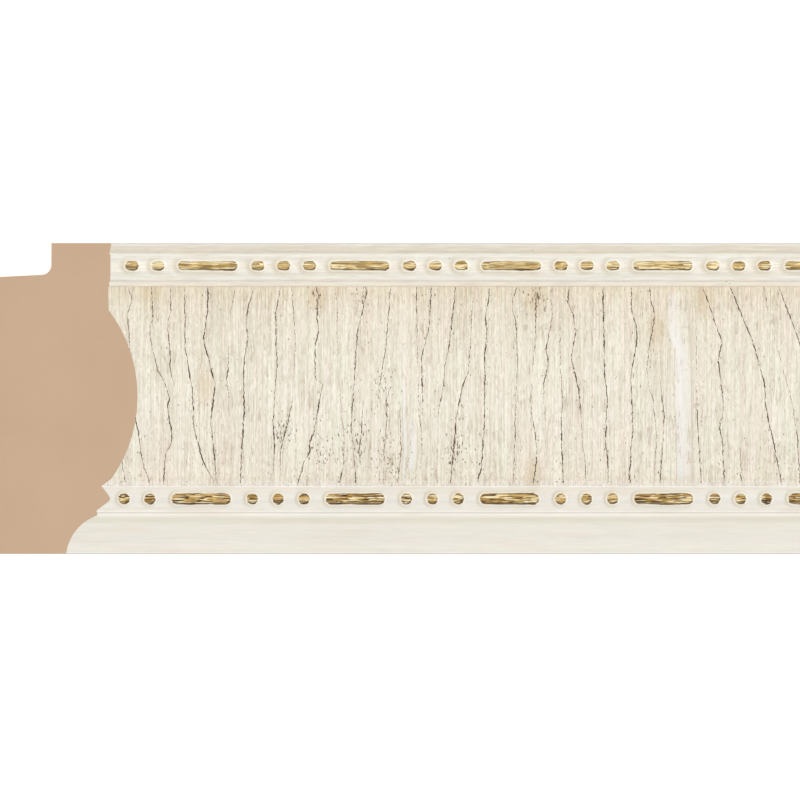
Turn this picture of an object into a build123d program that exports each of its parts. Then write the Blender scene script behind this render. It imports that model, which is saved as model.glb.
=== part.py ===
from build123d import *

import os
from math import ceil, radians, sqrt, tan

# Flat-backed cornice moulding, moulded in one piece, with a bulging field between two bead-and-bar
# rows. It lies on its back: X runs along the length, Y across the face and Z up, out of the face.
# The origin is in the middle of the back. Sizes are in millimetres and angles in degrees.

# Overall size, and the mitre that cuts the left end back towards the face
length = 2000.0
width = 90.0
thickness = 40.0
mitre_angle = 45.0

# Rebate along the back of the upper edge, with the draft that lets it out of the mould
rebate_width = 9.1
rebate_depth = 15.0
rebate_draft = 0.7
rebate_fillet = 2.9

# Members of the face from the upper edge down: how wide each is, and how high above the back. The
# cove is hollowed by its sag, from the straight line between its ends.
lip_width = 3.1
lip_height = 32.4
lip_low_height = 31.7
band_width = 7.9
band_height = 32.1
strip_width = 1.6
strip_height = 31.8
shoulder_width = 6.7
shoulder_height = 31.5
lead_width = 2.0
lead_height = 32.3
notch_height = 29.5
ridge_rise_width = 3.3
ridge_fall_width = 2.9
ridge_nose_width = 0.9
ridge_height = 32.0
quirk_height = 28.1
sill_width = 1.4
sill_height = 28.4
cove_width = 11.2
cove_sag = 2.1
edge_height = 19.3

# Bead-and-bar rows: the upper one stands on the band, its middle set in from the upper edge, and
# the lower one on the ridge
beads_between_bars = 3
bead_spacing = 7.5
bead_sides = 8
bar_length = 18.4
bar_corner = 1.2
row_stand = 1.0
upper_row_inset = 6.5
upper_row_width = 4.2
upper_row_slope = 40.0
upper_row_root = 0.5
upper_first_bar = 60.0
upper_pitch = 43.9
lower_row_width = 4.4
lower_row_slope = 15.0
lower_row_root = 4.0
lower_first_bar = 58.0
lower_pitch = 44.6

# Stock left beyond each end until the ends are cut
end_waste = 5.0

left_end = -length / 2
right_end = length / 2
upper_edge = width / 2
lower_edge = -width / 2

# Where each member of the face ends, counted down from the upper edge and up from the lower one
lip_end = upper_edge - lip_width
band_end = lip_end - band_width
strip_end = band_end - strip_width
shoulder_end = strip_end - shoulder_width
sill_end = lower_edge + cove_width
quirk = sill_end + sill_width
ridge_low = quirk + ridge_fall_width
ridge_high = ridge_low + ridge_nose_width
notch = ridge_high + ridge_rise_width
lead = notch + lead_width


def crest_offset(span, rise, step):
    """How far along its span an arc tops out that climbs by rise and ends step above its start."""
    k = span**2 - step * rise + step**2
    return k / (span + sqrt(span**2 - step / rise * k))


crest = shoulder_end - crest_offset(
    shoulder_end - lead, thickness - shoulder_height, lead_height - shoulder_height
)

# Section of the moulding, drawn across the face
section_plane = Plane.YZ.offset(left_end - end_waste)
with BuildSketch(section_plane) as section:
    with BuildLine():
        Polyline(
            (lower_edge, edge_height),
            (lower_edge, 0),
            (upper_edge - rebate_width - rebate_draft, 0),
            (upper_edge - rebate_width, rebate_depth),
            (upper_edge, rebate_depth),
            (upper_edge, lip_height),
            (lip_end, lip_low_height),
            (lip_end, band_height),
            (band_end, band_height),
            (band_end, strip_height),
            (strip_end, strip_height),
            (strip_end, shoulder_height),
            (shoulder_end, shoulder_height),
        )
        ThreePointArc(
            (shoulder_end, shoulder_height), (crest, thickness), (lead, lead_height)
        )
        Polyline(
            (lead, lead_height),
            (notch, notch_height),
            (ridge_high, ridge_height),
            (ridge_low, ridge_height),
            (quirk, quirk_height),
            (sill_end, sill_height),
        )
        SagittaArc((lower_edge, edge_height), (sill_end, sill_height), -cove_sag)
    make_face()
    rebate_corner = section_plane.from_local_coords((upper_edge - rebate_width, rebate_depth))
    fillet(section.vertices().sort_by_distance(rebate_corner)[0], rebate_fillet)


def raised_form(outline, slope, root):
    """A form whose sides draw in at slope from its root, below the seat, to its flat top."""
    with BuildPart() as form:
        add(outline)
        extrude(amount=root + row_stand, taper=slope)
    return form.part


def bead_and_bar_row(across, seat_height, row_width, slope, root, first_bar, pitch):
    """Beads and bars in a row along X, rooted below their seat and running past both ends."""
    count = ceil((length - first_bar) / pitch) + 1
    bars = [left_end + first_bar + n * pitch for n in range(-1, count)]
    beads = [
        bar + pitch / 2 + (k - (beads_between_bars - 1) / 2) * bead_spacing
        for bar in bars
        for k in range(beads_between_bars)
    ]
    spread = 2 * root * tan(radians(slope))
    with BuildSketch() as bead_outline:
        RegularPolygon((row_width + spread) / 2, bead_sides, major_radius=False)
    with BuildSketch() as bar_outline:
        Rectangle(bar_length + spread, row_width + spread)
        chamfer(bar_outline.vertices(), bar_corner)
    with BuildPart() as row:
        with Locations(*[(x, across, seat_height - root) for x in bars]):
            add(raised_form(bar_outline.sketch, slope, root))
        with Locations(*[(x, across, seat_height - root) for x in beads]):
            add(raised_form(bead_outline.sketch, slope, root))
    return row.part


upper_row = bead_and_bar_row(
    upper_edge - upper_row_inset,
    band_height,
    upper_row_width,
    upper_row_slope,
    upper_row_root,
    upper_first_bar,
    upper_pitch,
)
lower_row = bead_and_bar_row(
    (ridge_low + ridge_high) / 2,
    ridge_height,
    lower_row_width,
    lower_row_slope,
    lower_row_root,
    lower_first_bar,
    lower_pitch,
)

# Side view of the finished length, mitred at its left end and square at its right
cut_low = -end_waste
cut_high = thickness + end_waste
mitre_run = tan(radians(mitre_angle))
with BuildSketch(Plane.XZ) as cut_outline:
    Polygon(
        (left_end + cut_low * mitre_run, cut_low),
        (right_end, cut_low),
        (right_end, cut_high),
        (left_end + cut_high * mitre_run, cut_high),
        align=None,
    )

# Moulding: the section run out, both rows raised on it, then the ends cut
with BuildPart() as moulding:
    extrude(section.sketch, amount=length + 2 * end_waste, dir=(1, 0, 0))
    add(upper_row)
    add(lower_row)
    extrude(cut_outline.sketch, amount=width, both=True, mode=Mode.INTERSECT)

moulding.part.label = "moulding"
os.makedirs("parts", exist_ok=True)
export_step(moulding.part, "parts/moulding.step")
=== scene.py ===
import math
import random

import bmesh
import bpy
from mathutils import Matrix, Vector, noise


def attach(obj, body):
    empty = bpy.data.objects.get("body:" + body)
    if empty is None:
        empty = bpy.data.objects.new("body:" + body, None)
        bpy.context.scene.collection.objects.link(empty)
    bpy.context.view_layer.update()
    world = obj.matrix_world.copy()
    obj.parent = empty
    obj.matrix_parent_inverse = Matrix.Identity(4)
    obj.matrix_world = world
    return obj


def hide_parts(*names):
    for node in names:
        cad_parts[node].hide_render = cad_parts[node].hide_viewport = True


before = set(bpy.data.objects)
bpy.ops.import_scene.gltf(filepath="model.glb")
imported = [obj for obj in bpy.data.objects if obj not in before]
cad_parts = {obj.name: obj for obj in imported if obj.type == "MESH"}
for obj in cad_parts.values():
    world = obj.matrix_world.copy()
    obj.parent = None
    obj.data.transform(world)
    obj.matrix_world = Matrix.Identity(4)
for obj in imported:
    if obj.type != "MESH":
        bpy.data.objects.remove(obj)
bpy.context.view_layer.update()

# Foam length: rigid tan foam run out of a die as one section, then sawn to length, with a mitre
# through its thickness at the left end and a square cut at the right. It stays bare on the back,
# in the rebate and on both cuts. Its front carries the sprayed coats and the beads and bars.

mm = 0.001
left_end, right_end = -1000.0, 1000.0
full_length = right_end - left_end
saw_overrun = 3.0
foam_step = 250.0

# Painted outline of the face, in millimetres across it and above the back, from the upper edge down
lip = [(45.0, 15.0), (45.0, 32.05), (44.87, 32.3), (44.6, 32.36), (43.0, 32.0), (42.05, 31.75)]
band = [(41.9, 31.82), (41.82, 32.06), (41.6, 32.1), (38.0, 32.1), (34.25, 32.1), (34.05, 32.0)]
strip = [(33.97, 31.84), (33.8, 31.8), (32.6, 31.8), (32.42, 31.74), (32.4, 31.5)]
upper_face = lip + band + strip


def arc_through(start, crest, end, steps):
    """Points along the circle through three points, with both ends."""
    (ax, ay), (bx, by), (cx, cy) = start, crest, end
    d = 2 * (ax * (by - cy) + bx * (cy - ay) + cx * (ay - by))
    a, b, c = ax**2 + ay**2, bx**2 + by**2, cx**2 + cy**2
    ux = (a * (by - cy) + b * (cy - ay) + c * (ay - by)) / d
    uy = (a * (cx - bx) + b * (ax - cx) + c * (bx - ax)) / d
    radius = math.hypot(ax - ux, ay - uy)
    first, last = math.atan2(ay - uy, ax - ux), math.atan2(cy - uy, cx - ux)
    turns = [first + (last - first) * k / steps for k in range(steps + 1)]
    return [(ux + radius * math.cos(t), uy + radius * math.sin(t)) for t in turns]


shoulder = [(32.4, 31.5), (31.3, 31.5), (30.1, 31.5), (28.9, 31.5), (27.7, 31.5), (26.6, 31.52)]
bulge = arc_through((25.7, 31.5), (0.66, 39.95), (-23.3, 32.3), 38)
field_face = shoulder + bulge + [(-24.0, 31.35), (-24.65, 30.45), (-25.3, 29.5)]

ridge_rise = [(-25.3, 29.5), (-26.2, 30.2), (-27.6, 31.3), (-28.4, 31.85), (-28.8, 31.99)]
ridge_fall = [(-29.2, 31.99), (-29.6, 31.85), (-30.4, 30.8), (-31.6, 29.2), (-32.2, 28.35)]
sill = [(-32.4, 28.14), (-32.6, 28.15), (-33.5, 28.34), (-33.72, 28.32), (-33.84, 28.2)]
cove = arc_through((-33.95, 27.97), (-38.0, 22.28), (-44.4, 19.38), 14)
lower_face = ridge_rise + ridge_fall + sill + cove + [(-44.85, 19.3), (-45.0, 19.1), (-45.0, 0.0)]

# The foam's own surface under each coat, in the same order
foam_under_upper = [(44.8, 15.0), (44.8, 31.9), (43.0, 31.7), (42.1, 31.45), (34.0, 31.5), (32.4, 31.3)]
foam_under_field = (
    [(32.4, 31.0)]
    + [(y, z - 0.5) for y, z in field_face[5:42:3]]
    + [(-23.3, 31.7), (-24.65, 29.85), (-25.3, 29.0)]
)
foam_under_lower = (
    [(-25.3, 29.2), (-27.5, 30.9), (-28.9, 31.6), (-29.3, 31.5), (-32.2, 27.95), (-33.5, 28.0)]
    + [(y + 0.15, z - 0.2) for y, z in cove]
    + [(-44.8, 18.9), (-44.8, 0.0)]
)

rebate_corner = arc_through((35.77, 12.24), (36.67, 14.2), (38.67, 15.0), 8)
foam_back = [(-30.0, 0.0), (-10.0, 0.0), (10.0, 0.0), (30.0, 0.0), (35.2, 0.0)] + rebate_corner
foam_outline = foam_under_upper + foam_under_field + foam_under_lower + foam_back


def skinned(bm, loops):
    """Faces from each loop of points to the next, and one over each end."""
    for here, there in zip(loops, loops[1:]):
        for k in range(len(here)):
            bm.faces.new((here[k - 1], here[k], there[k], there[k - 1]))
    bm.faces.new(loops[0][::-1])
    bm.faces.new(loops[-1])


def length_of(rings, girth):
    """A closed length from rings of points in millimetres. girth is each point's place from 0 to 1
    round the painted outline, or -1 where it lies on the foam."""
    bm = bmesh.new()
    layer = bm.verts.layers.float.new("girth")
    loops = []
    for ring in rings:
        loops.append([bm.verts.new((x * mm, y * mm, z * mm)) for x, y, z in ring])
        for vert, place in zip(loops[-1], girth):
            vert[layer] = place
    skinned(bm, loops)
    return bm


def cut_off(bm, x, outward):
    """Cuts away what lies beyond a plane through x, and closes the cut."""
    cut = bmesh.ops.bisect_plane(
        bm,
        geom=bm.verts[:] + bm.edges[:] + bm.faces[:],
        plane_co=(x * mm, 0, 0),
        plane_no=outward,
        clear_outer=True,
    )
    rim = [edge for edge in cut["geom_cut"] if isinstance(edge, bmesh.types.BMEdge)]
    bmesh.ops.edgeloop_fill(bm, edges=rim)


def sawn(bm, inset=0.0):
    """Cuts the left end off along the mitre, or an inset inside it, and marks both cut faces as bare
    foam."""
    cut_off(bm, left_end + inset, (-1, 0, 1))
    bmesh.ops.recalc_face_normals(bm, faces=bm.faces)
    mitre = Vector((-1, 0, 1)).normalized()
    for face in bm.faces:
        square = face.normal.x > 0.999 and face.calc_center_median().x > (right_end - 0.1) * mm
        on_mitre = all(abs(v.co.x - (left_end + inset) * mm - v.co.z) < 1e-6 for v in face.verts)
        face.smooth = not (square or on_mitre and face.normal.dot(mitre) > 0.99)
    return bm


def shown(bm, name, materials, crease=32):
    """Makes the mesh a piece of the moulding, in the same place as its solid."""
    mesh = bpy.data.meshes.new(name)
    bm.to_mesh(mesh)
    bm.free()
    mesh.set_sharp_from_angle(angle=math.radians(crease))
    for material in materials:
        mesh.materials.append(material)
    piece = bpy.data.objects.new(name, mesh)
    bpy.context.collection.objects.link(piece)
    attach(piece, "root")
    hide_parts("moulding")
    return piece


def colour(red, green, blue):
    """A colour as a screen shows it, each part from 0 to 255, in the values that shaders work in."""
    parts = [part / 255 for part in (red, green, blue)]
    return tuple(p / 12.92 if p <= 0.04045 else ((p + 0.055) / 1.055) ** 2.4 for p in parts) + (1.0,)


def feed(tree, socket, value):
    """Links the value to the socket if it comes from another node, and otherwise sets it there."""
    if isinstance(value, bpy.types.NodeSocket):
        tree.links.new(value, socket)
    else:
        socket.default_value = value


def node(tree, kind, inputs, **settings):
    """A new node with its settings and its inputs, which are given by name or number."""
    made = tree.nodes.new("ShaderNode" + kind)
    for name, value in settings.items():
        setattr(made, name, value)
    for name, value in inputs.items():
        feed(tree, made.inputs[name], value)
    return made


def mixed(tree, share, first, second):
    """The first colour, with a share from 0 to 1 of the second."""
    made = node(tree, "Mix", {0: share, 6: first, 7: second}, data_type="RGBA")
    return made.outputs[2]


def maths(tree, operation, first, second=0.0):
    """One sum on two values."""
    return node(tree, "Math", {0: first, 1: second}, operation=operation).outputs[0]


def times(tree, first, second):
    """The product of two values."""
    return maths(tree, "MULTIPLY", first, second)


def plus(tree, first, second):
    """The sum of two values."""
    return maths(tree, "ADD", first, second)


def threshold(tree, value, low, high):
    """0 below low, 1 above high, and a soft step between them."""
    made = node(tree, "MapRange", {0: value, 1: low, 2: high}, interpolation_type="SMOOTHSTEP")
    return made.outputs[0]


def product(tree, first, second):
    """The product of two vectors or colours, part by part."""
    return node(tree, "VectorMath", {0: first, 1: second}, operation="MULTIPLY").outputs[0]


def streaks(tree, place, stretch, detail=3.0, roughness=0.55):
    """Noise from 0 to 1, drawn out by a stretch of (along, across, deep) features to the metre."""
    made = node(tree, "TexNoise", {"Vector": product(tree, place, stretch), "Scale": 1.0,
                                   "Detail": detail, "Roughness": roughness})
    return made.outputs[0]


def new_material(name):
    """A material with its shader, its tree and the place on the moulding in metres."""
    material = bpy.data.materials.new(name)
    material.use_nodes = True
    tree = material.node_tree
    shader = tree.nodes["Principled BSDF"]
    place = node(tree, "TexCoord", {}).outputs["Object"]
    return material, tree, shader, place


def bumped(tree, shader, height, distance, strength):
    """Lets a height of 0 to 1 show as relief of that distance, in metres."""
    made = node(tree, "Bump", {"Height": height, "Distance": distance, "Strength": strength})
    feed(tree, shader.inputs["Normal"], made.outputs[0])


foam_tan = colour(206, 174, 144)
foam_pale = colour(215, 186, 158)
foam_dark = colour(190, 156, 125)

bare_foam, tree, shader, place = new_material("bare foam")
cells = streaks(tree, place, (900, 900, 900), detail=4.0, roughness=0.6)
clouds = streaks(tree, place, (18, 26, 26))
saw_marks = streaks(tree, place, (60, 60, 1400), detail=1.0)
cloudy = times(tree, threshold(tree, clouds, 0.35, 0.75), 0.4)
tone = mixed(tree, cloudy, foam_tan, foam_pale)
tone = mixed(tree, times(tree, threshold(tree, cells, 0.60, 0.74), 0.2), tone, foam_dark)
feed(tree, shader.inputs["Base Color"], tone)
feed(tree, shader.inputs["Roughness"], plus(tree, times(tree, cells, 0.2), 0.68))
shader.inputs["Specular IOR Level"].default_value = 0.25
grain = plus(tree, times(tree, saw_marks, 0.5), times(tree, cells, 0.5))
bumped(tree, shader, grain, 0.00012, 0.6)


def stations(step):
    """Places along the length, from past the mitre to the right end."""
    steps = round(full_length / step)
    return [left_end - saw_overrun] + [left_end + step * k for k in range(1, steps + 1)]


foam_rings = [[(x, y, z) for y, z in foam_outline] for x in stations(foam_step)]
foam = sawn(length_of(foam_rings, [-1.0] * len(foam_outline)))
shown(foam, "foam_length", [bare_foam], crease=25)


# Cream lacquer: the sprayed finish of every coat, brushed while wet. Bought in as one mixed tone,
# it dries a little pinker in some brush marks, greener in others and paler between them.


def new_group(name, inputs, outputs):
    """An effect kept as one node, with its inputs and outputs by name."""
    group = bpy.data.node_groups.new(name, "ShaderNodeTree")
    for label, kind in inputs.items():
        group.interface.new_socket(label, in_out="INPUT", socket_type="NodeSocket" + kind)
    for label, kind in outputs.items():
        group.interface.new_socket(label, in_out="OUTPUT", socket_type="NodeSocket" + kind)
    return group, group.nodes.new("NodeGroupInput").outputs, group.nodes.new("NodeGroupOutput").inputs


def minus(tree, first, second):
    """The first value less the second."""
    return maths(tree, "SUBTRACT", first, second)


def swung(tree, value, reach):
    """A value from 0 to 1 made to swing about zero, by half the reach to each side."""
    return times(tree, minus(tree, value, 0.5), reach)


def toned(tree, swing, parts):
    """A light for each colour part that swings about 1, by its own share of the swing."""
    made = node(tree, "VectorMath", {0: swing, 1: parts, 2: (1.0, 1.0, 1.0)}, operation="MULTIPLY_ADD")
    return made.outputs[0]


coat_outputs = {"Color": "Color", "Height": "Float", "Roughness": "Float"}

brushed_lacquer, given, made = new_group(
    "brushed lacquer",
    {"Place": "Vector", "Base": "Color", "Warm": "Color", "Stretch": "Vector", "Brush": "Float",
     "Clouds": "Float", "Pink": "Float", "Tint": "Float"},
    coat_outputs,
)
tree, place = brushed_lacquer, given["Place"]
brush = streaks(tree, place, given["Stretch"], detail=5.0, roughness=0.65)
wide_stretch = product(tree, given["Stretch"], (0.31, 0.31, 0.31))
wide_brush = streaks(tree, place, wide_stretch, detail=2.0)
clouds = streaks(tree, place, (34, 30, 30), detail=3.0)
pinker = times(tree, threshold(tree, wide_brush, 0.45, 0.72), given["Pink"])
tone = mixed(tree, pinker, given["Base"], given["Warm"])
brush_swing = swung(tree, brush, given["Brush"])
cloud_swing = swung(tree, clouds, given["Clouds"])
light = plus(tree, plus(tree, brush_swing, cloud_swing), 1.0)
scaled = node(tree, "VectorMath", {0: tone, "Scale": light}, operation="SCALE").outputs[0]
tint_stretch = product(tree, given["Stretch"], (0.7, 0.7, 0.7))
tint_noise = streaks(tree, place, tint_stretch, detail=4.0, roughness=0.6)
tint = toned(tree, swung(tree, tint_noise, given["Tint"]), (1.0, -0.7, 0.5))
feed(tree, made["Color"], product(tree, scaled, tint))
feed(tree, made["Height"], brush)
feed(tree, made["Roughness"], plus(tree, times(tree, brush, 0.22), 0.36))


def grouped(tree, group, values):
    """An effect's outputs in another tree, with the values it is given by name."""
    made = tree.nodes.new("ShaderNodeGroup")
    made.node_tree = group
    for name, value in values.items():
        feed(tree, made.inputs[name], value)
    return made.outputs


def lacquered(tree, place, base, warm, stretch, brush, clouds, pink, tint):
    """The lacquer's outputs in a tree. stretch is its brush marks to the metre, and the last four are
    how strongly those marks, the clouds, the pink and the tint show."""
    values = {"Place": place, "Base": base, "Warm": warm, "Stretch": stretch, "Brush": brush,
              "Clouds": clouds, "Pink": pink, "Tint": tint}
    return grouped(tree, brushed_lacquer, values)


def toned_across(tree, place, tones):
    """A colour for each place across the face, from the upper edge down. tones are (millimetres
    from the middle, colour), or (from, to, colour) where the colour holds over a stretch."""
    tones = [(y, tone) for *places, tone in tones for y in places]
    across = node(tree, "SeparateXYZ", {0: place}).outputs["Y"]
    low, high = tones[-1][0], tones[0][0]
    share = node(tree, "MapRange", {0: across, 1: low * mm, 2: high * mm}).outputs[0]
    ramp = node(tree, "ValToRGB", {0: share})
    stops = ramp.color_ramp.elements
    stops[0].position, stops[0].color = 0.0, tones[-1][1]
    stops[1].position, stops[1].color = 1.0, tones[0][1]
    for y, tone in tones[1:-1]:
        stops.new((y - low) / (high - low)).color = tone
    return ramp.outputs[0]


# Upper members: the lip above the rebate, the flat band that the upper beads stand on, and the
# narrow strip beside the field. They are foam, lacquered smooth, and rubbed down along the length.

# Painted shade: the darker grey tone along the lip's upper arris.
lip_arris_shade = colour(204, 204, 194)
lip_pale = colour(231, 228, 215)
lip_cream = colour(227, 218, 201)
lip_foot = colour(219, 212, 194)
# Painted highlight: the paler tone along both edges of the band.
band_edge_highlight = colour(241, 237, 225)
band_cream = colour(235, 231, 219)
band_pale = colour(245, 239, 226)
step_shade = colour(228, 221, 208)
strip_pale = colour(240, 232, 216)
# Painted shade: the darker line at the step down into the field.
field_step_shade = colour(228, 218, 197)
warm_cream = colour(229, 211, 188)
speck_brown = colour(120, 100, 72)

upper_finish, given, made = new_group("upper finish", {"Place": "Vector"}, coat_outputs)
tree, place = upper_finish, given["Place"]
# Here the lip's upper arris and the steps at both sides of the strip carry painted shade, and both
# edges of the band a painted highlight.
base = toned_across(tree, place, [
    (45.0, lip_pale), (44.93, lip_arris_shade), (44.55, 44.3, lip_pale), (44.0, 42.9, lip_cream),
    (42.6, 42.2, lip_foot), (41.75, 41.1, band_edge_highlight), (40.7, 39.9, band_cream),
    (39.2, 36.9, band_pale), (36.3, 35.3, band_cream), (35.0, 34.5, band_edge_highlight),
    (34.15, 33.85, step_shade), (33.4, 33.0, strip_pale), (32.4, field_step_shade),
])
coat = lacquered(tree, place, base, warm_cream, stretch=(150, 2200, 2200), brush=0.60,
                 clouds=0.08, pink=0.3, tint=0.10)
speck_noise = streaks(tree, place, (420, 900, 900), detail=2.0)
specks = times(tree, threshold(tree, speck_noise, 0.74, 0.80), 0.75)
feed(tree, made["Color"], mixed(tree, specks, coat["Color"], speck_brown))
feed(tree, made["Height"], coat["Height"])
feed(tree, made["Roughness"], coat["Roughness"])


def plain_coat(name, finish):
    """A material of one finish, with nothing rubbed over it."""
    material, tree, shader, place = new_material(name)
    coat = grouped(tree, finish, {"Place": place})
    feed(tree, shader.inputs["Base Color"], coat["Color"])
    feed(tree, shader.inputs["Roughness"], coat["Roughness"])
    bumped(tree, shader, coat["Height"], 0.00004, 0.5)
    return material


def painted_girth(outline, under):
    """Each point's place from 0 to 1 round the painted outline, and -1 for those on the foam."""
    run = [0.0]
    for (ya, za), (yb, zb) in zip(outline, outline[1:]):
        run.append(run[-1] + math.hypot(yb - ya, zb - za))
    return [length / run[-1] for length in run] + [-1.0] * len(under)


member_step = 10.0
coat_drift = 0.05
still_below = 20.0


def coat_over(outline, under):
    """A smooth coat between its painted outline and the foam, dried unevenly along the length. It
    keeps to its outline at both edges and low on the sides."""
    rings = []
    for x in stations(member_step):
        ring = []
        for k, (y, z) in enumerate(outline):
            free = 0 < k < len(outline) - 1 and z > still_below
            drift = coat_drift * noise.noise(Vector((x * 0.02, y * 0.3, z * 0.3))) if free else 0.0
            ring.append((x, y, z + drift))
        rings.append(ring + [(x, y, z) for y, z in reversed(under)])
    return length_of(rings, painted_girth(outline, under))


rows_laid_out = 8
row_length = full_length * mm / rows_laid_out
end_margin, side_margin = 0.012, 0.04
rows_take = 0.97


def unrolled(bm):
    """Gives a sawn coat bare foam on its cuts, and lays it out flat in rows, with whatever doesn't
    show in a strip of its own."""
    girth = bm.verts.layers.float["girth"]
    layout = bm.loops.layers.uv.new("OFBake")
    for face in bm.faces:
        face.material_index = 0 if face.smooth else 1
        hidden = not face.smooth or any(vert[girth] < 0 for vert in face.verts)
        from_end = face.calc_center_median().x - left_end * mm
        row = min(rows_laid_out - 1, max(0, int(from_end / row_length)))
        for loop in face.loops:
            x, y, z = loop.vert.co
            if hidden:
                loop[layout].uv = (0.5 + 0.24 * x, 0.985 + 0.1 * y + 0.1 * z)
            else:
                along = (x - left_end * mm) / row_length - row
                across = row + side_margin + (1 - 2 * side_margin) * loop.vert[girth]
                loop[layout].uv = (
                    end_margin + (1 - 2 * end_margin) * along,
                    rows_take * across / rows_laid_out,
                )
    return bm


upper_lacquer = plain_coat("upper lacquer", upper_finish)
upper_coat = coat_over(upper_face, foam_under_upper)
shown(unrolled(sawn(upper_coat)), "upper_members", [upper_lacquer, bare_foam])


# Lower members: the pointed ridge that the lower beads stand on, the small sill under it, and the
# plain cove that runs out to the lower edge. They are foam, lacquered smooth like the upper ones.

# Painted light: the near-white tone at the foot of the ridge, brightening the notch that the lights
# leave in shade.
ridge_foot_painted_light = colour(253, 253, 254)
ridge_cream = colour(232, 227, 214)
ridge_flank = colour(237, 234, 226)
ridge_fall_cream = colour(253, 247, 236)
sill_pale = colour(247, 244, 235)
quirk_shade = colour(223, 218, 208)
sill_nose = colour(253, 248, 236)
# Painted shadow: the beige line at the top of the cove, under the sill.
cove_top_shadow = colour(241, 236, 219)
cove_cream = colour(248, 243, 230)
cove_pale = colour(244, 239, 227)
cove_low = colour(240, 235, 224)
cove_foot = colour(233, 229, 217)
edge_pale = colour(253, 251, 240)
edge_shade = colour(172, 170, 162)

lower_finish, given, made = new_group("lower finish", {"Place": "Vector"}, coat_outputs)
tree, place = lower_finish, given["Place"]
# The foot of the ridge in the notch is painted light here, and the quirk beside the sill, the top of
# the cove and the lower arris carry painted shade.
base = toned_across(tree, place, [
    (-25.3, ridge_foot_painted_light), (-25.9, ridge_cream), (-26.6, -29.0, ridge_flank),
    (-31.0, -32.1, ridge_fall_cream), (-32.45, -32.75, sill_pale), (-32.95, -33.15, quirk_shade),
    (-33.5, -34.2, sill_nose), (-34.7, -35.3, cove_top_shadow), (-36.6, cove_cream), (-38.5, cove_pale),
    (-40.5, -43.6, cove_low), (-44.3, cove_foot), (-44.6, edge_pale), (-44.88, edge_shade),
    (-45.0, cove_low),
])
coat = lacquered(tree, place, base, warm_cream, stretch=(120, 1500, 1500), brush=0.20,
                 clouds=0.05, pink=0.2, tint=0.06)
for label in coat_outputs:
    feed(tree, made[label], coat[label])

lower_lacquer = plain_coat("lower lacquer", lower_finish)
lower_coat = coat_over(lower_face, foam_under_lower)
shown(unrolled(sawn(lower_coat)), "lower_members", [lower_lacquer, bare_foam])


# Crackle field: the bulging middle of the face. Its coat is thicker and dried under tension, so it
# has split into long cracks that run across the face, with a darker stain rubbed into them.

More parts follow.
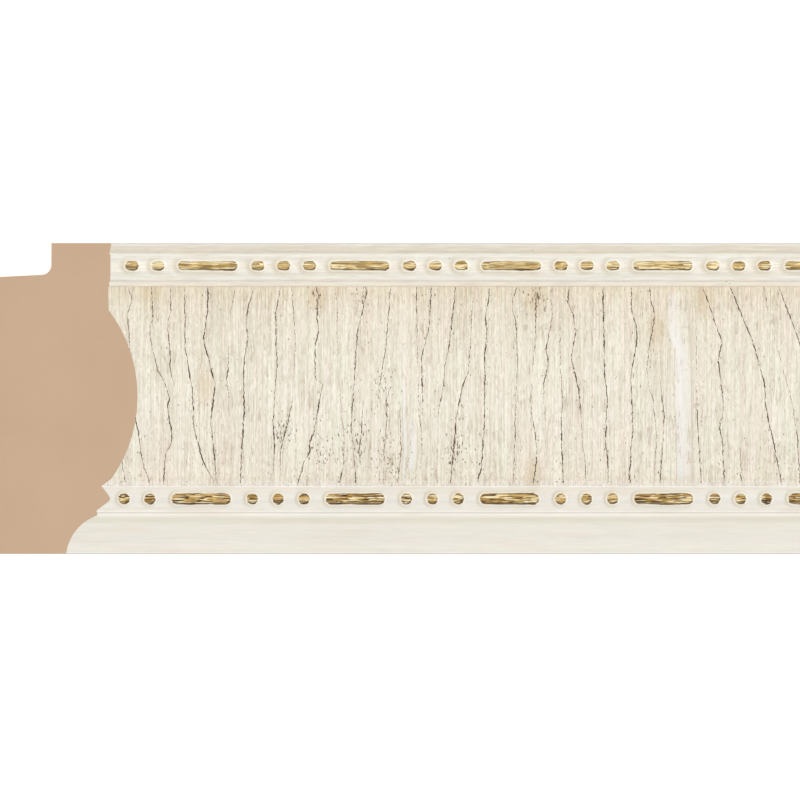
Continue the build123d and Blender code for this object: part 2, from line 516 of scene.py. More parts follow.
# Cracks at the left end, each from the upper side down: (from the left end, across the face, depth
# in tenths of the full one), in millimetres
near_cracks = [
    [(34.1, 32.6, 0), (35.0, -9.1, 0), (35.5, -19.2, 7), (36.4, -23.9, 7)],
    [(37.1, 32.6, 9), (38.4, 28.5, 10), (37.0, 24.2, 5), (37.7, 16.1, 7), (37.5, -0.4, 0),
     (38.1, -23.9, 0)],
    [(39.4, 32.6, 0), (39.1, -0.4, 0), (39.4, -5.4, 9), (41.2, -16.9, 7), (41.9, -20.4, 5),
     (43.3, -23.6, 8)],
    [(43.9, 32.6, 8), (44.5, 23.0, 9), (43.5, 21.0, 3), (43.6, 17.2, 2), (45.8, 8.0, 5),
     (47.4, 5.6, 7), (49.2, 0.1, 9), (48.6, -2.5, 9), (49.9, -10.6, 9), (49.7, -13.2, 6),
     (48.1, -16.1, 5), (47.5, -23.6, 8)],
    [(49.5, 32.3, 3), (49.6, 25.0, 5), (48.6, 22.1, 4), (49.5, 11.7, 8), (49.2, 9.1, 5),
     (50.9, 2.5, 0), (51.5, -9.1, 0), (50.4, -23.6, 0)],
    [(53.6, 32.3, 4), (53.7, 14.9, 6), (55.7, 3.3, 9), (55.9, 0.4, 5), (56.3, -8.8, 9),
     (59.2, -19.0, 9), (61.9, -23.9, 8)],
    [(60.3, 32.6, 9), (60.3, 25.3, 9), (59.6, 21.0, 6), (59.0, 17.2, 8), (62.4, 3.9, 10),
     (61.1, -6.8, 10), (62.4, -18.1, 8), (62.8, -23.9, 3)],
    [(68.3, 32.3, 4), (66.6, 22.7, 0), (66.3, 15.5, 0), (66.2, 8.2, 8), (65.7, 5.9, 6),
     (66.6, -0.4, 0), (66.6, -23.6, 0)],
    [(73.8, 32.6, 2), (72.0, 26.5, 9), (71.3, 21.0, 10), (72.0, 18.1, 9), (70.7, 10.3, 9),
     (70.8, -4.2, 10), (69.7, -22.4, 10)],
    [(81.3, 32.3, 6), (79.9, 24.2, 6), (80.3, 9.7, 7), (79.3, -3.9, 2), (79.1, -8.2, 8),
     (79.7, -14.0, 8), (79.3, -17.8, 1), (79.3, -23.6, 0)],
    [(84.5, 32.6, 2), (85.7, 16.9, 1), (84.8, -0.4, 0), (83.4, -7.1, 9), (81.9, -12.6, 9),
     (81.3, -15.5, 3), (81.3, -23.6, 0)],
    [(91.5, 32.3, 7), (92.3, 29.1, 5), (91.9, 24.2, 9), (92.3, 19.2, 8), (91.3, 15.5, 6),
     (91.3, 7.4, 8), (91.4, 5.6, 2), (93.5, 4.2, 3), (92.3, -2.2, 9), (91.2, -9.1, 8),
     (89.7, -13.2, 10), (89.9, -15.5, 9), (88.0, -18.4, 5), (87.4, -21.3, 9), (86.4, -23.9, 6)],
    [(97.1, 32.6, 0), (97.7, 26.5, 4), (97.8, 11.1, 0), (99.8, -12.0, 1), (99.6, -19.0, 7),
     (98.5, -23.6, 8)],
    [(105.8, 32.6, 10), (106.2, 30.8, 9), (103.5, 18.7, 8), (101.7, -9.4, 6), (102.4, -13.5, 0),
     (103.1, -24.2, 8)],
    [(108.2, 32.6, 0), (105.3, -0.4, 0), (104.5, -11.7, 8), (104.0, -15.5, 7), (104.5, -19.5, 0),
     (104.8, -23.9, 0)],
    [(113.2, 32.3, 6), (111.8, 14.9, 7), (110.5, 6.8, 8), (109.9, 3.3, 5), (112.1, 1.9, 2),
     (112.0, -1.0, 7), (112.2, -5.4, 8), (111.1, -17.8, 0), (111.1, -23.9, 1)],
    [(115.8, 32.6, 0), (115.8, -0.4, 0), (116.2, -16.4, 5), (115.3, -23.0, 9)],
    [(119.4, 32.3, 7), (118.9, 8.2, 0), (119.4, -5.1, 3), (119.2, -23.9, 0)],
    [(125.0, 32.6, 7), (124.8, 29.7, 9), (124.4, 21.0, 5), (120.9, 7.4, 9), (121.7, 3.6, 10),
     (121.0, 0.7, 4), (121.5, -6.2, 0), (122.7, -14.9, 0), (123.0, -23.9, 0)],
    [(132.0, 32.3, 8), (129.9, 13.5, 10), (129.1, 11.4, 8), (128.5, 3.9, 7), (127.2, -2.5, 4),
     (126.8, -7.7, 0), (126.5, -23.9, 1)],
    [(137.2, 32.6, 0), (135.7, 7.4, 5), (134.1, 3.9, 8), (132.2, -5.4, 9), (130.6, -23.9, 9)],
    [(141.8, 32.6, 3), (141.4, 27.9, 10), (140.5, 23.3, 9), (141.1, 19.2, 9), (140.5, 14.0, 9),
     (140.3, -7.1, 8), (139.4, -20.4, 10), (138.6, -22.7, 9)],
    [(150.0, 32.6, 7), (148.6, 29.1, 4), (148.4, 25.6, 2), (149.4, 22.7, 6), (150.0, 9.7, 5),
     (149.3, -0.4, 1), (149.2, -12.3, 8), (148.7, -23.9, 2)],
    [(155.2, 32.6, 6), (155.3, 26.5, 8), (155.1, 19.8, 2), (154.2, 5.4, 0), (153.6, -1.9, 4),
     (155.0, -10.3, 7), (155.4, -14.9, 1), (155.4, -18.4, 8), (154.6, -23.6, 9)],
    [(159.2, 32.6, 0), (160.0, 24.2, 5), (158.1, 14.0, 8), (158.9, 11.1, 10), (157.5, 3.9, 5),
     (157.4, -0.4, 1), (158.3, -9.1, 0), (158.0, -23.9, 0)],
    [(162.1, 32.6, 0), (162.3, 11.1, 1), (162.9, -2.5, 5), (162.5, -6.8, 8), (163.1, -23.9, 7)],
    [(164.7, 32.6, 7), (164.5, 27.6, 10), (166.0, 24.5, 8), (166.7, 18.7, 9), (165.4, 11.7, 8),
     (167.6, 2.7, 9), (168.2, -4.2, 7), (168.4, -9.1, 1), (169.1, -16.4, 1), (169.5, -19.0, 7),
     (169.7, -23.0, 7)],
    [(174.6, 32.6, 10), (175.1, 7.1, 9), (175.9, -0.4, 5), (175.3, -13.2, 10), (176.1, -17.8, 9),
     (176.1, -23.6, 8)],
    [(182.9, 32.3, 7), (182.9, 25.0, 7), (184.3, 21.0, 9), (184.5, 17.5, 9), (182.7, 6.2, 8),
     (183.3, -8.8, 8), (182.6, -15.5, 3), (182.7, -19.0, 9), (182.1, -21.6, 10), (182.5, -23.6, 8)],
    [(188.1, 32.6, 6), (188.5, 27.9, 6), (189.7, 24.2, 8), (187.2, 9.4, 3), (188.1, 2.5, 1),
     (189.1, 0.1, 3), (190.1, -10.3, 3), (189.5, -23.9, 0)],
    [(191.3, 32.6, 0), (191.3, 5.4, 0), (191.6, 0.4, 8), (192.4, -4.8, 9), (192.2, -9.1, 0),
     (191.2, -23.6, 9)],
    [(201.4, 32.6, 0), (201.7, 2.5, 1), (201.8, -4.2, 6), (203.1, -23.6, 6)],
    [(203.4, 32.6, 8), (209.1, 16.4, 8), (208.0, 10.9, 8), (209.5, -1.3, 7), (209.1, -5.6, 4),
     (208.3, -7.7, 9), (209.2, -12.0, 10), (209.7, -23.3, 7)],
    [(207.2, 32.6, 0), (210.4, 23.9, 0), (213.6, 11.1, 0), (214.4, -12.0, 0), (214.6, -23.6, 6)],
    [(211.3, 32.6, 9), (218.0, 16.4, 8), (221.5, 3.9, 9), (221.6, -1.6, 8), (226.2, -23.6, 8)],
    [(221.4, 32.6, 0), (221.7, 29.4, 5), (222.5, 24.2, 0), (229.2, -0.4, 2), (231.0, -11.7, 5),
     (231.5, -23.6, 3)],
    [(225.4, 32.6, 8), (231.3, 16.9, 8), (233.8, 8.2, 7), (238.5, -23.6, 8)],
]
crack_top, crack_foot = 32.6, -23.8
open_from, open_to = 32.0, -24.2
crack_depth = 0.16
crack_half_width = 0.32
crack_waver = 0.16
further_from, further_to = 238.0, 1990.0
random_cracks = random.Random(5)


def kept_in(value):
    """A value kept from 0 to 1."""
    return min(1.0, max(0.0, value))


def along_route(points, y):
    """Where a crack is, and how deep, at a place across the face."""
    if y >= points[0][1]:
        return points[0][0], points[0][2]
    for (xa, ya, da), (xb, yb, db) in zip(points, points[1:]):
        if y >= yb:
            share = (ya - y) / (ya - yb)
            return xa + (xb - xa) * share, da + (db - da) * share
    return points[-1][0], points[-1][2]


def further_crack(start, number):
    """A crack like the near ones: leaning with its neighbours, kinked, and broken in places."""
    lean = 9.0 * noise.noise(Vector((start * 0.012, 4.0, 0.0))) - 0.5
    bend = 3.0 * noise.noise(Vector((start * 0.03, 9.0, 2.0)))
    strength = random_cracks.uniform(0.45, 1.1)
    points = []
    kinks = 16
    for step in range(kinks + 1):
        share = step / kinks
        y = crack_top - (crack_top - crack_foot) * share
        kink = 0.9 * noise.noise(Vector((number * 7.3, step * 0.55, 1.0)))
        kink += random_cracks.uniform(-0.3, 0.3)
        broken = noise.noise(Vector((number * 3.1, step * 0.21, 6.0)))
        depth = 10.0 * strength * kept_in(0.62 + 1.9 * broken)
        points.append((start - lean * share + bend * math.sin(math.pi * share) + kink, y, depth))
    return points


# Smooth swellings of the coat, where it didn't split, from the upper side down: (across the face,
# left edge and right edge from the left end, height)
swelling_top, swelling_foot = 31.5, -25.3
top_fade, foot_fade = 2.5, 3.0
white_height = 0.25
near_swellings = [
    [(31.0, 116.4, 117.5, 0.02), (6.0, 116.4, 117.5, 0.05), (3.5, 116.4, 117.5, 0.28),
     (-24.0, 116.6, 117.7, 0.32)],
    [(31.0, 118.9, 119.7, 0.0), (-6.0, 118.5, 120.3, 0.0), (-8.0, 118.3, 120.6, 0.3),
     (-20.0, 118.3, 120.6, 0.3), (-22.0, 118.6, 120.2, 0.0), (-24.0, 118.9, 119.9, 0.0)],
    [(31.5, 193.6, 199.2, 0.13), (24.0, 193.3, 199.6, 0.15), (18.0, 193.6, 199.9, 0.22),
     (13.5, 195.7, 200.2, 0.34), (-24.0, 195.9, 200.6, 0.34)],
]

# Across a crack from its left edge to its right one: (place, depth), with the edges curled up
crack_shape = [(-1.0, -0.15), (0.0, 1.0), (1.0, -0.15)]

# Across a swelling from its left edge to its right one: (place, rise, how white, how much painted
# shadow). The white is brightest on the left flank, as a painted highlight.
swelling_shape = [
    (-1.0, 0.0, 0.0, 0.0), (-0.85, 0.35, 0.8, 0.0), (-0.5, 0.9, 1.0, 0.0), (0.0, 1.0, 0.62, 0.0),
    (0.45, 0.8, 0.35, 0.0), (0.8, 0.3, 0.25, 0.15), (1.0, 0.0, 0.0, 0.9), (1.3, 0.0, 0.0, 0.0),
]

# Every crack and swelling becomes a bundle of lines across the face. Each point of a line is (from
# the left end, lift, how open the crack is, which side of it, how white it is with its painted
# highlight, and how much painted shadow it has).
plain = (0.0, 0.0, 0.0, 0.0, 0.0)
face_y = [y for y, z in field_face]
rows = range(len(field_face))


def crack_bundle(points, number):
    """The lines of one crack, which ends inside both edges of the field."""
    lines = [[] for _ in crack_shape]
    for y in face_y:
        x, depth = along_route(points, y)
        x += crack_waver * noise.noise(Vector((number * 5.7, y * 0.9, 3.0)))
        open_here = min(1.0, depth / 10) if open_to <= y <= open_from else 0.0
        for line, (side, deep) in zip(lines, crack_shape):
            place = x + side * crack_half_width
            line.append((place, -crack_depth * deep * open_here, open_here, side, 0.0, 0.0))
    return lines


def swelling_bundle(route):
    """The lines of one swelling, which fades out at both ends and whitens as it rises, with a painted
    highlight to the left and painted shadow to the right.
    """
    lines = [[] for _ in swelling_shape]
    for y in face_y:
        left, height = along_route([(left, y, height) for y, left, right, height in route], y)
        right, _ = along_route([(right, y, height) for y, left, right, height in route], y)
        fade = kept_in((swelling_top - y) / top_fade) * kept_in((y - swelling_foot) / foot_fade)
        seen = fade * min(1.0, height / white_height)
        for line, (side, rise, white, shadow_line) in zip(lines, swelling_shape):
            x = (left + right) / 2 + side * (right - left) / 2
            line.append((x, height * rise * fade, 0.0, 0.0, white * seen, shadow_line * seen))
    return lines


bundles = [crack_bundle(points, k) for k, points in enumerate(near_cracks)]
bundles += [swelling_bundle(route) for route in near_swellings]

# Beyond them the cracks go on at the same density, with a swelling in the place of each thirteenth
start, number = further_from, 100
while start < further_to:
    if number % 13 == 6:
        wide = random_cracks.uniform(1.0, 5.2)
        height = 0.12 + 0.04 * wide
        bundles.append(swelling_bundle([
            (31.0, start, start + wide, height),
            (10.0, start + 0.3 * wide, start + 1.1 * wide, height),
            (-24.0, start + 0.4 * wide, start + 1.1 * wide, height),
        ]))
        start += 1.2 * wide + random_cracks.uniform(3.0, 5.0)
    else:
        bundles.append(crack_bundle(further_crack(start, number), number))
        start += random_cracks.uniform(4.2, 9.0)
    number += 1
middle_row = len(field_face) // 2
bundles.sort(key=lambda lines: lines[0][middle_row][0])

# Neighbours are kept apart, so that no line crosses another
clear_gap = 0.5
first_line_at = 26.0
for row in rows:
    reached = first_line_at
    for lines in bundles:
        push = max(0.0, reached + clear_gap - lines[0][row][0])
        if push:
            for line in lines:
                line[row] = (line[row][0] + push,) + line[row][1:]
        reached = lines[-1][row][0]
    limit = full_length
    for lines in reversed(bundles):
        pull = max(0.0, lines[-1][row][0] - (limit - clear_gap))
        if pull:
            for line in lines:
                line[row] = (line[row][0] - pull,) + line[row][1:]
        limit = lines[0][row][0]

# Plain lines fill the spaces between
widest_step = 2.4
straight_start = [(first_line_at,) + plain for _ in rows]
straight_end = [(full_length,) + plain for _ in rows]
field_lines = [straight_start]
for lines in bundles + [[straight_end]]:
    left, right = field_lines[-1], lines[0]
    mean_gap = sum(right[row][0] - left[row][0] for row in rows) / len(rows)
    steps = max(1, round(mean_gap / widest_step))
    for step in range(1, steps):
        share = step / steps
        field_lines.append([
            (left[row][0] * (1 - share) + right[row][0] * share,) + plain for row in rows
        ])
    field_lines += lines

# Stains beside the cracks, and clusters of small dark pits: (from the left end, across the face)
stains = [(43.4, 31.5), (59.8, 4.0), (91.8, 30.0), (155.2, 29.0), (154.6, -22.0), (189.8, 20.0),
          (204.0, 28.5)]
pits = [(82.5, -9.0), (99.8, -9.0), (110.0, 2.5), (104.8, 30.5), (91.5, 32.0), (155.0, 30.5),
        (132.0, -14.0), (94.0, -17.0), (111.5, -18.0), (103.5, -14.0)]
stain_reach, pit_reach = (4.5, 9.0), (5.0, 10.0)
further_spots = 70
for k in range(further_spots):
    x, y = random_cracks.uniform(240, further_to), random_cracks.uniform(-23, 31)
    (stains if k % 2 else pits).append((x, y))


def nearness(spots, x, y, reach):
    """1 on a spot, and 0 out of its reach along and across the face."""
    along, across = reach
    best = 0.0
    for spot_x, spot_y in spots:
        if abs(spot_x - x) < along:
            best = max(best, 1.0 - math.hypot((spot_x - x) / along, (spot_y - y) / across))
    return best


mark_names = ("crack", "opened", "side", "white", "shadow_line", "stain", "pits")
surface_waver = 0.07
field_rings, field_marks = [], []
for line in field_lines:
    ring, marks = [], []
    for row, (y, z) in enumerate(field_face):
        from_end, lift, opened, side, white, shadow_line = line[row]
        free = 0 < row < len(field_face) - 1
        wave = surface_waver * noise.noise(Vector((from_end * 0.16, y * 0.035, 3.0)))
        ring.append((left_end + from_end, y, z + (lift + wave if free else 0.0)))
        stained = nearness(stains, from_end, y, stain_reach)
        pitted = nearness(pits, from_end, y, pit_reach)
        inside = opened * (1 - abs(side)) if opened else 0.0
        marks.append((inside, opened, side, white, shadow_line, stained, pitted))
    field_rings.append(ring + [(left_end + line[0][0], y, z) for y, z in reversed(foam_under_field)])
    field_marks.append(marks + [(0.0,) * len(mark_names)] * len(foam_under_field))

field_coat = length_of(field_rings, painted_girth(field_face, foam_under_field))
mark_layers = [field_coat.verts.layers.float.new(name) for name in mark_names]
for vert, marks in zip(field_coat.verts, (marks for ring in field_marks for marks in ring)):
    for layer, value in zip(mark_layers, marks):
        vert[layer] = value

field_top = colour(231, 219, 197)
field_upper = colour(232, 220, 196)
field_mid_upper = colour(235, 226, 208)
field_middle = colour(234, 227, 209)
field_crest = colour(237, 230, 213)
field_mid_lower = colour(239, 232, 215)
field_lower = colour(242, 234, 216)
field_foot = colour(247, 238, 220)
# Painted light: the pale tone on the slope down into the notch, brightening the shade that the lights
# leave there.
lead_painted_light = colour(253, 247, 237)
field_warm = colour(222, 200, 172)
stain_gold = colour(208, 176, 124)
# The swellings' pale tone, brightest on their left flanks as a painted highlight, and the painted
# shadow along their right edges.
swelling_white = colour(247, 243, 237)
swelling_shadow = colour(212, 196, 178)
pit_brown = colour(96, 72, 46)
# Painted highlight on the coat where it curls up beside a crack.
curl_highlight = colour(253, 248, 236)
crack_brown = colour(168, 120, 52)
crack_black = colour(44, 26, 4)
hair_brown = colour(160, 132, 92)

crackle_lacquer, tree, shader, place = new_material("crackle lacquer")


def mark(tree, name):
    """How much of a mark a piece has at each place."""
    return node(tree, "Attribute", {}, attribute_name=name).outputs["Fac"]


def strands(tree, place, stretch):
    """A random value from 0 to 1 for each small cell, of a stretch of cells to the metre."""
    cells = node(tree, "TexVoronoi", {"Vector": product(tree, place, stretch), "Scale": 1.0})
    return node(tree, "SeparateColor", {0: cells.outputs["Color"]}).outputs[0]


# The palest tone, on the slope down into the notch, is painted light.
base = toned_across(tree, place, [
    (32.4, field_top), (31.0, field_upper), (25.0, field_mid_upper), (12.0, field_middle),
    (2.0, field_crest), (-8.0, field_mid_lower), (-19.0, field_lower), (-23.6, field_foot),
    (-23.9, -25.3, lead_painted_light),
])
coat = lacquered(tree, place, base, field_warm, stretch=(800, 60, 60), brush=0.02, clouds=0.03,
                 pink=0.15, tint=0.11)

# The glaze dried in strands across the face, some short and some long, a little bluer where pale
fibres = strands(tree, place, (3500, 700, 700))
threads = strands(tree, place, (3500, 60, 60))
strand_swing = plus(tree, swung(tree, fibres, 0.21), swung(tree, threads, 0.22))
tone = product(tree, coat["Color"], toned(tree, strand_swing, (0.92, 1.0, 1.2)))

ragged = minus(tree, streaks(tree, place, (1300, 1300, 1300), detail=3.0, roughness=0.7), 0.5)
stained = times(tree, threshold(tree, plus(tree, mark(tree, "stain"), ragged), 0.1, 0.9), 0.36)
tone = mixed(tree, stained, tone, stain_gold)
# Swellings are pale, with a painted highlight on their left flanks and a painted shadow along their
# right edges.
tone = mixed(tree, mark(tree, "white"), tone, swelling_white)
tone = mixed(tree, times(tree, mark(tree, "shadow_line"), 0.8), tone, swelling_shadow)

# Hair cracks between the open ones are only drawn, and come and go in patches
hair_run = streaks(tree, place, (520, 34, 34), detail=3.0, roughness=0.6)
hair_off = maths(tree, "ABSOLUTE", minus(tree, hair_run, 0.5))
hair_seen = threshold(tree, streaks(tree, place, (120, 160, 160), detail=3.0), 0.46, 0.58)
hairs = times(tree, minus(tree, 1.0, threshold(tree, hair_off, 0.0, 0.03)), hair_seen)
tone = mixed(tree, times(tree, hairs, 0.4), tone, hair_brown)

# Pits gather in clusters, beside the cracks and on the lower half of the field
pit_noise = streaks(tree, place, (2100, 720, 720), detail=2.0, roughness=0.6)
pit_level = plus(tree, pit_noise, times(tree, mark(tree, "pits"), 0.13))
across = node(tree, "SeparateXYZ", {0: place}).outputs["Y"]
lower_half = node(tree, "MapRange", {0: across, 1: 0.004, 2: -0.016}).outputs[0]
pit_level = plus(tree, pit_level, times(tree, lower_half, 0.02))
pit_level = plus(tree, pit_level, times(tree, mark(tree, "opened"), 0.05))
pitted = threshold(tree, pit_level, 0.70, 0.75)
tone = mixed(tree, times(tree, pitted, 0.85), tone, pit_brown)

# A crack strays from side to side in its groove, opens and closes along its run, and is only a brown
# line where it is narrow. A painted highlight makes the coat pale where it curls up beside one.
stray = swung(tree, streaks(tree, place, (300, 900, 900)), 2.4)
off_centre = maths(tree, "ABSOLUTE", plus(tree, mark(tree, "side"), stray))
run = threshold(tree, streaks(tree, place, (60, 420, 420), detail=3.0, roughness=0.6), 0.42, 0.60)
crack_width = plus(tree, times(tree, run, 0.46), 0.12)
crack_reach = times(tree, mark(tree, "opened"), crack_width)
crack_reach = plus(tree, crack_reach, times(tree, ragged, 1.3))
crack_level = minus(tree, crack_reach, off_centre)
in_groove = threshold(tree, mark(tree, "crack"), 0.01, 0.05)
cracked = times(tree, threshold(tree, crack_level, -0.22, -0.02), in_groove)
crack_core = threshold(tree, crack_level, -0.02, 0.10)
curl_lit = times(tree, threshold(tree, crack_level, -0.75, -0.35), in_groove)
tone = mixed(tree, times(tree, curl_lit, 0.5), tone, curl_highlight)
crack_tone = mixed(tree, crack_core, crack_brown, crack_black)
tone = mixed(tree, times(tree, cracked, 0.95), tone, crack_tone)

feed(tree, shader.inputs["Base Color"], tone)
feed(tree, shader.inputs["Roughness"], plus(tree, coat["Roughness"], times(tree, cracked, 0.35)))
sunk = plus(tree, times(tree, pitted, 0.5), cracked)
bumped(tree, shader, minus(tree, times(tree, fibres, 0.25), sunk), 0.0001, 0.8)

shown(unrolled(sawn(field_coat)), "crackle_field", [crackle_lacquer, bare_foam], crease=60)


# Upper beads and bars: low rounded forms that swell out of the band, three beads and then a bar.
# They are lacquered with it, with a brown glaze and painted shade on their left flanks. Gold is rubbed
# over their crowns, with brown left in its scratches and along its edge, where painted shade darkens it
# most of all on the lower side.

bead_spacing = 7.5
beads_between_bars = 3
bar_gold_length = 17.5
form_stand = 1.0
foot_depth = 0.3
form_reach = 3.0
bare_mitre = 34.0

gold_brown = colour(74, 48, 14)
gold_pink = colour(226, 184, 142)
gold_glint = colour(255, 243, 200)
# A brown glaze with painted shade, for the left flanks of the forms.
glaze_and_shade_brown = colour(208, 190, 154)
# Painted highlight: the pale halo round the gold.
halo_highlight_cream = colour(255, 251, 236)

rubbed_gold, given, made = new_group(
    "rubbed gold",
    {"Place": "Vector", "Crown": "Float", "Upper": "Float", "Left": "Float", "Right": "Float",
     "Ochre": "Color", "Light": "Color", "Grain": "Vector", "Brown": "Float", "Top": "Float"},
    {**coat_outputs, "Gilded": "Float", "Highlight": "Float"},
)
tree, place = rubbed_gold, given["Place"]
rub = streaks(tree, place, (190, 1700, 1700), detail=4.0, roughness=0.65)
wide_rub = streaks(tree, place, (90, 1000, 1000), detail=2.0)
patch = streaks(tree, place, (320, 700, 700), detail=2.0)
level = plus(tree, given["Crown"], swung(tree, rub, 0.5))
level = minus(tree, level, times(tree, given["Left"], 0.18))
gold = mixed(tree, threshold(tree, wide_rub, 0.44, 0.64), given["Ochre"], given["Light"])
pinkish = times(tree, threshold(tree, patch, 0.54, 0.68), 0.5)
gold = mixed(tree, pinkish, gold, gold_pink)
flecks = strands(tree, place, given["Grain"])
glint = times(tree, threshold(tree, flecks, 0.60, 0.92), 0.85)
gold = mixed(tree, glint, gold, gold_glint)

# Brown lines stay in the scratches along each form, and break up where the rag pressed harder
wander = swung(tree, wide_rub, 1.5)
scratch_phase = plus(tree, times(tree, given["Upper"], 2.2), wander)
scratch = threshold(tree, maths(tree, "PINGPONG", scratch_phase, 0.5), 0.20, 0.08)
pressed = streaks(tree, place, (260, 500, 500), detail=3.0)
scratch = times(tree, scratch, threshold(tree, pressed, 0.42, 0.54))
brown_streaks = maths(tree, "MAXIMUM", scratch, threshold(tree, flecks, 0.40, 0.08))
brown_streaks = times(tree, brown_streaks, given["Brown"])
gold = mixed(tree, brown_streaks, gold, gold_brown)
# The brown along the gold's edge is partly brown left there and partly painted shade: darkest on the
# lower side, lighter on the right and upper sides, and eased at each form's left end.
at_rim = threshold(tree, level, 0.76, 0.62)
lower_side = threshold(tree, given["Upper"], -0.1, -0.5)
right_side = times(tree, threshold(tree, given["Right"], 0.1, 0.45), 0.3)
upper_side = times(tree, threshold(tree, given["Upper"], 0.2, 0.6), given["Top"])
in_shade = maths(tree, "MAXIMUM", maths(tree, "MAXIMUM", lower_side, right_side), upper_side)
shade_less_at_left = minus(tree, 1.0, times(tree, given["Left"], 0.7))
brown_rim_and_shade = times(tree, at_rim, times(tree, in_shade, shade_less_at_left))
gold = mixed(tree, times(tree, brown_rim_and_shade, 0.95), gold, gold_brown)
feed(tree, made["Color"], gold)
feed(tree, made["Gilded"], threshold(tree, level, 0.45, 0.54))
# The pale halo round the gold is a painted highlight.
feed(tree, made["Highlight"], threshold(tree, level, 0.12, 0.34))
feed(tree, made["Height"], rub)
feed(tree, made["Roughness"], plus(tree, times(tree, rub, 0.25), 0.34))


def gilded_material(name, finish, ochre, light, grain, brown, top):
    """A finish with gold rubbed over the crowns, a painted highlight pale round it, and a brown glaze
    with painted shade on the left flanks. ochre and light are the gold's two tones, grain its flecks to
    the metre, brown is how strongly the brown ones show, and top how dark the painted shade keeps the
    upper rim."""
    material, tree, shader, place = new_material(name)
    coat = grouped(tree, finish, {"Place": place})
    # The forms' left flanks take a brown glaze with painted shade.
    coat_glaze_and_shade = mixed(tree, times(tree, mark(tree, "glaze_and_shade"), 0.55), coat["Color"], glaze_and_shade_brown)
    marks = {label: mark(tree, label.lower()) for label in ("Crown", "Upper", "Left", "Right")}
    gold = grouped(tree, rubbed_gold, {
        **marks, "Place": place, "Ochre": ochre, "Light": light, "Grain": grain, "Brown": brown,
        "Top": top,
    })
    # The painted highlight makes the coat pale round the gold.
    coat_glaze_and_shade = mixed(tree, times(tree, gold["Highlight"], 0.6), coat_glaze_and_shade, halo_highlight_cream)
    feed(tree, shader.inputs["Base Color"], mixed(tree, gold["Gilded"], coat_glaze_and_shade, gold["Color"]))
    feed(tree, shader.inputs["Metallic"], times(tree, gold["Gilded"], 0.35))
    feed(tree, shader.inputs["Roughness"], gold["Roughness"])
    bumped(tree, shader, gold["Height"], 0.00008, 0.7)
    return material


# A form's rings, from its foot in to its crown: (beyond the edge of the gold, height above the
# surface that it swells out of, as a share of the whole). The first is repeated, and sunk in it.
form_rings = [
    (2.0, -0.07), (1.6, 0.0), (1.15, 0.06), (0.75, 0.2), (0.4, 0.43), (0.1, 0.62), (-0.25, 0.81),
    (-0.65, 0.94), (-1.05, 0.99),
]
form_marks = ("girth", "crown", "upper", "left", "right", "glaze_and_shade")
form_inset = 0.03
half_turn = 8
edge_to_crown = 1.4
left_reach, right_reach = 2.3, 1.0


def height_at(outline, y):
    """How high an outline is at a place across the face, between the points on either side."""
    for (ya, za), (yb, zb) in zip(outline, outline[1:]):
        if ya >= y >= yb:
            return za + (zb - za) * (ya - y) / max(ya - yb, 0.001)
    return outline[0][1] if y > outline[0][0] else outline[-1][1]


def add_form(bm, middle, across, straight, gold_half, carrier, flare):
    """A form whose gold reaches gold_half to each side, and straight farther towards each end. It
    swells out of the carrier outline over the flare, and its foot is sunk in it."""
    layers = [bm.verts.layers.float[name] for name in form_marks]
    turns = [(straight, math.pi * (k / half_turn - 0.5)) for k in range(half_turn + 1)]
    turns += [(-straight, math.pi * (k / half_turn + 0.5)) for k in range(half_turn + 1)]
    crest = height_at(carrier, across)
    end = straight + gold_half
    loops = []
    for ring, (beyond, share) in enumerate([form_rings[0]] + form_rings):
        radius = gold_half + beyond * (flare if beyond > 0 else gold_half / edge_to_crown)
        loop = []
        for offset, turn in turns:
            x, y = offset + radius * math.cos(turn), radius * math.sin(turn)
            base = height_at(carrier, across + y)
            z = base + share * (form_stand + 0.5 * (crest - base)) if ring else base - foot_depth
            vert = bm.verts.new(((middle + x) * mm, (across + y) * mm, z * mm))
            # The last mark is the brown glaze with painted shade, strongest on the left flank and a
            # little on the lower side.
            flank = kept_in(1 - abs(beyond - 0.3) / 1.7) if beyond > -0.5 else 0.0
            marks = (
                0.5 - 0.5 * y / (gold_half + 2.0 * flare) if ring else -1.0,
                0.5 - 0.5 * beyond,
                y / gold_half,
                kept_in(1 - (x + end) / left_reach),
                kept_in(1 - (end - x) / right_reach),
                flank * (0.5 - 0.5 * math.cos(turn) - 0.15 * math.sin(turn)),
            )
            for layer, value in zip(layers, marks):
                vert[layer] = value
            loop.append(vert)
        loops.append(loop)
    skinned(bm, loops)


def row_of_forms(across, carrier, first_bar, pitch, gold_half, bead_straight, flare):
    """Bars at their pitch with beads between them, from the bare edge at the mitre past the right
    end, and cut off just inside it."""
    bm = bmesh.new()
    for name in form_marks:
        bm.verts.layers.float.new(name)
    bar_straight = bar_gold_length / 2 - gold_half
    bar = first_bar - pitch
    while bar < full_length + pitch:
        forms = [(bar, bar_straight)]
        for k in range(beads_between_bars):
            bead = bar + pitch / 2 + (k - (beads_between_bars - 1) / 2) * bead_spacing
            forms.append((bead, bead_straight))
        for from_end, straight in forms:
            if bare_mitre < from_end < full_length + straight + form_reach:
                add_form(bm, left_end + from_end, across, straight, gold_half, carrier, flare)
        bar += pitch
    cut_off(bm, right_end - form_inset, (1, 0, 0))
    return bm


upper_gold = gilded_material(
    "upper gold", upper_finish, ochre=colour(204, 170, 100), light=colour(230, 202, 142),
    grain=(300, 3000, 700), brown=0.6, top=0.4,
)
upper_row = row_of_forms(
    across=38.43, carrier=band, first_bar=60.1, pitch=43.9, gold_half=1.38, bead_straight=0.70,
    flare=1.0,
)
shown(unrolled(sawn(upper_row, form_inset)), "upper_beads_and_bars", [upper_gold, bare_foam], crease=80)


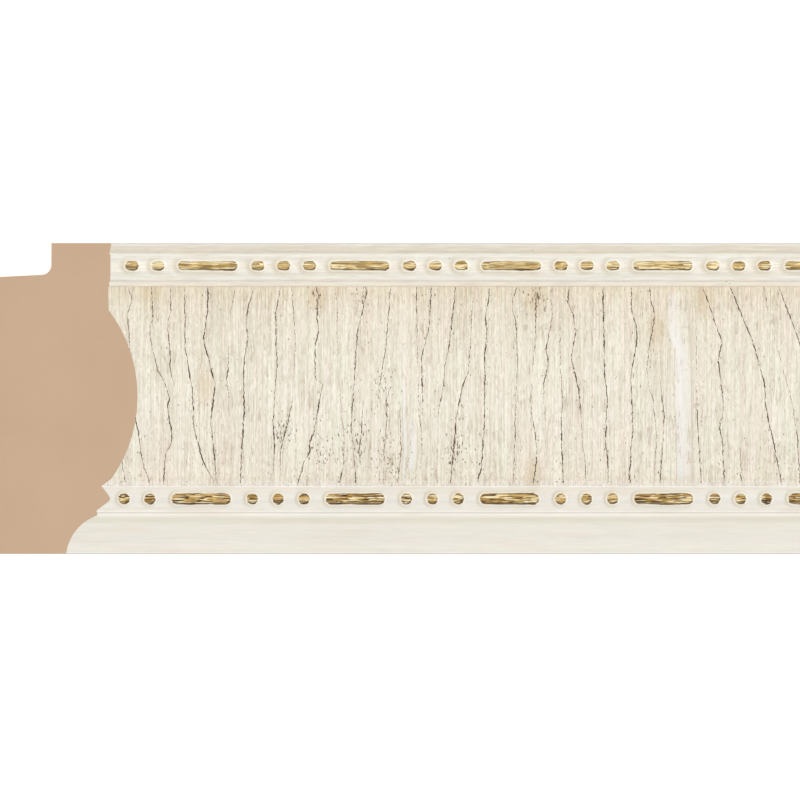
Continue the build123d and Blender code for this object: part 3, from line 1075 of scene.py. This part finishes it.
# Lower beads and bars: the same forms, a little wider and hugging the crown of the ridge. They are
# rubbed with the same gold, left browner, and stand a little off the beat of the upper row.

lower_gold = gilded_material(
    "lower gold", lower_finish, ochre=colour(180, 142, 72), light=colour(214, 178, 106),
    grain=(380, 3300, 700), brown=1.0, top=0.3,
)
lower_row = row_of_forms(
    across=-29.05, carrier=ridge_rise + ridge_fall, first_bar=58.2, pitch=44.6, gold_half=1.68,
    bead_straight=0.12, flare=0.7,
)
shown(unrolled(sawn(lower_row, form_inset)), "lower_beads_and_bars", [lower_gold, bare_foam], crease=80)


# Studio: a pale floor that runs out of sight, one broad soft light from the upper right, and a
# weaker one from the left that reaches the mitre.

studio_white = colour(250, 250, 250)
pure_white = (1.0, 1.0, 1.0, 1.0)
floor_reach = 30.0
floor_lift = 0.45
room_light = 0.76

floor_paper, tree, shader, place = new_material("floor paper")
shader.inputs["Base Color"].default_value = studio_white
shader.inputs["Roughness"].default_value = 0.9
seen = node(tree, "LightPath", {}).outputs["Is Camera Ray"]
lift = node(tree, "Emission", {"Color": pure_white, "Strength": times(tree, seen, floor_lift)})
both = node(tree, "AddShader", {0: shader.outputs[0], 1: lift.outputs[0]})
feed(tree, tree.nodes["Material Output"].inputs["Surface"], both.outputs[0])

floor_bm = bmesh.new()
bmesh.ops.create_grid(floor_bm, x_segments=1, y_segments=1, size=floor_reach)
floor_mesh = bpy.data.meshes.new("floor")
floor_bm.to_mesh(floor_mesh)
floor_bm.free()
floor_mesh.materials.append(floor_paper)
floor = bpy.data.objects.new("floor", floor_mesh)
bpy.context.collection.objects.link(floor)

world = bpy.data.worlds.new("studio")
bpy.context.scene.world = world
world.use_nodes = True
tree = world.node_tree
background = tree.nodes["Background"]
background.inputs["Color"].default_value = pure_white
rays = node(tree, "LightPath", {}).outputs
straight_seen = maths(tree, "MAXIMUM", rays["Is Camera Ray"], rays["Is Transmission Ray"])
all_seen = maths(tree, "MAXIMUM", straight_seen, rays["Is Glossy Ray"])
background_light = plus(tree, times(tree, all_seen, 1.0 - room_light), room_light)
feed(tree, background.inputs["Strength"], background_light)


def add_light(name, strength, spread, azimuth, elevation):
    """A far soft light, from an azimuth counted from +X towards +Y and an elevation, in degrees."""
    lamp = bpy.data.lights.new(name, "SUN")
    lamp.energy, lamp.angle = strength, math.radians(spread)
    light = bpy.data.objects.new(name, lamp)
    a, e = math.radians(azimuth), math.radians(elevation)
    from_there = Vector((math.cos(a) * math.cos(e), math.sin(a) * math.cos(e), math.sin(e)))
    light.rotation_euler = from_there.to_track_quat("Z", "Y").to_euler()
    bpy.context.collection.objects.link(light)


add_light("key", strength=0.75, spread=30, azimuth=25, elevation=40)
add_light("fill", strength=0.45, spread=60, azimuth=180, elevation=40)

# The camera looks straight down on the left end, and its frame is 231.5 mm wide
frame_width = 0.2315
view_centre = (left_end * mm + 0.1159, -0.00043)
camera_height = 1.5
camera_data = bpy.data.cameras.new("camera")
camera_data.type = "ORTHO"
camera_data.ortho_scale = frame_width
camera_data.clip_end = 10.0
camera = bpy.data.objects.new("camera", camera_data)
camera.location = (*view_centre, camera_height)
bpy.context.collection.objects.link(camera)
bpy.context.scene.camera = camera
bpy.context.scene.view_settings.view_transform = "Standard"
